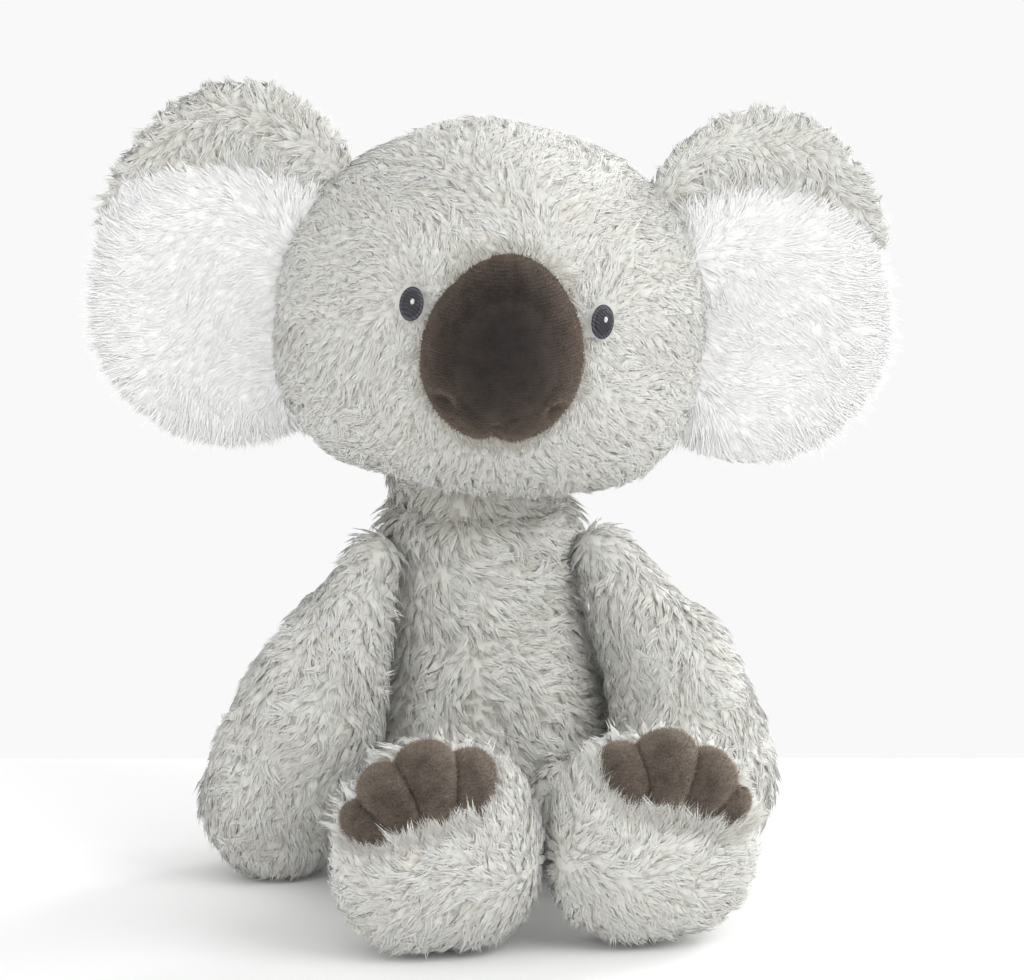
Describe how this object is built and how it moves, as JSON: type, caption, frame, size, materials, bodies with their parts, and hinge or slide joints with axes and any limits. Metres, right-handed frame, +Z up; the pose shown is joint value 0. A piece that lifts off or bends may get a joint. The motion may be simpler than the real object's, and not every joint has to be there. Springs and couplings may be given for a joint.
{
  "type": "plush koala",
  "caption": "Seated plush koala with a turning and nodding head, floppy ears, swinging arms and legs, flexing feet, an oval plush nose and brown toes.",
  "frame": {"origin": "middle of the flat seat under the body, on the floor", "axes": "+Z up, the body and feet face -Y, +X to the viewer's right"},
  "size_m": [0.2615, 0.1869, 0.2621],
  "materials": {
    "fur": "long wavy pile, light grey",
    "ear_lining_fur": "long soft pile, white",
    "nose_plush": "short velvety pile, dark brown",
    "toe_plush": "short velvety pile, taupe brown",
    "eye_ring_thread": "satin stitch",
    "eye_pupil_thread": "satin stitch",
    "eye_glint_thread": "satin stitch",
    "stuffing": "loose fibre",
    "calico": "plain weave"
  },
  "bodies": {
    "body": {"body_fur": "fur", "body_stuffing": "stuffing", "pellet_pouch": "calico"},
    "neck": {"neck_wad": "stuffing"},
    "head": {"head_fur": "fur", "head_stuffing": "stuffing", "nose_cover": "nose_plush", "nose_stuffing": "stuffing", "eye_left_ring": "eye_ring_thread", "eye_left_pupil": "eye_pupil_thread", "eye_left_glint": "eye_glint_thread", "eye_right_ring": "eye_ring_thread", "eye_right_pupil": "eye_pupil_thread", "eye_right_glint": "eye_glint_thread"},
    "ear_left": {"ear_left_back": "fur", "ear_left_lining": "ear_lining_fur"},
    "arm_left": {"arm_left_fur": "fur", "arm_left_stuffing": "stuffing"},
    "leg_left": {"leg_left_fur": "fur", "leg_left_stuffing": "stuffing"},
    "foot_left": {"foot_left_fur": "fur", "foot_left_sole": "fur", "foot_left_toes": "toe_plush", "foot_left_stuffing": "stuffing"},
    "ear_right": {"ear_right_back": "fur", "ear_right_lining": "ear_lining_fur"},
    "arm_right": {"arm_right_fur": "fur", "arm_right_stuffing": "stuffing"},
    "leg_right": {"leg_right_fur": "fur", "leg_right_stuffing": "stuffing"},
    "foot_right": {"foot_right_fur": "fur", "foot_right_sole": "fur", "foot_right_toes": "toe_plush", "foot_right_stuffing": "stuffing"}
  },
  "joints": [
    {"name": "neck_turn", "type": "hinge", "parent": "body", "child": "neck", "pos_m": [0, 0.002, 0.128], "axis": [0, 0, 1], "range_deg": [-40, 40], "stiffness_Nm_per_rad": 0.3},
    {"name": "neck_nod", "type": "hinge", "parent": "neck", "child": "head", "pos_m": [0, 0.002, 0.128], "axis": [0.9951, -0.0993, 0], "range_deg": [-18, 18], "stiffness_Nm_per_rad": 1},
    {"name": "ear_left_flop", "type": "hinge", "parent": "head", "child": "ear_left", "pos_m": [-0.06107, 0.00207, 0.20443], "axis": [0.3808, -0.038, 0.9239], "range_deg": [-20, 20], "stiffness_Nm_per_rad": 0.05},
    {"name": "ear_right_flop", "type": "hinge", "parent": "head", "child": "ear_right", "pos_m": [0.06904, -0.01092, 0.19643], "axis": [0.2659, -0.0265, -0.9636], "range_deg": [-20, 20], "stiffness_Nm_per_rad": 0.05},
    {"name": "arm_left_swing", "type": "hinge", "parent": "body", "child": "arm_left", "pos_m": [-0.0378, -0.01825, 0.105], "axis": [-1, 0, 0], "range_deg": [0, 50]},
    {"name": "arm_right_swing", "type": "hinge", "parent": "body", "child": "arm_right", "pos_m": [0.0378, -0.01825, 0.105], "axis": [-1, 0, 0], "range_deg": [0, 50]},
    {"name": "leg_left_swing", "type": "hinge", "parent": "body", "child": "leg_left", "pos_m": [-0.02564, -0.04377, 0.024], "axis": [1, 0, 0], "range_deg": [-40, 20]},
    {"name": "leg_right_swing", "type": "hinge", "parent": "body", "child": "leg_right", "pos_m": [0.02564, -0.04377, 0.024], "axis": [1, 0, 0], "range_deg": [-40, 20]},
    {"name": "foot_left_flex", "type": "hinge", "parent": "leg_left", "child": "foot_left", "pos_m": [-0.0342, -0.08827, 0.027], "axis": [-1, 0, 0], "range_deg": [-10, 15], "stiffness_Nm_per_rad": 0.1},
    {"name": "foot_right_flex", "type": "hinge", "parent": "leg_right", "child": "foot_right", "pos_m": [0.0342, -0.08827, 0.027], "axis": [-1, 0, 0], "range_deg": [-10, 15], "stiffness_Nm_per_rad": 0.1}
  ]
}
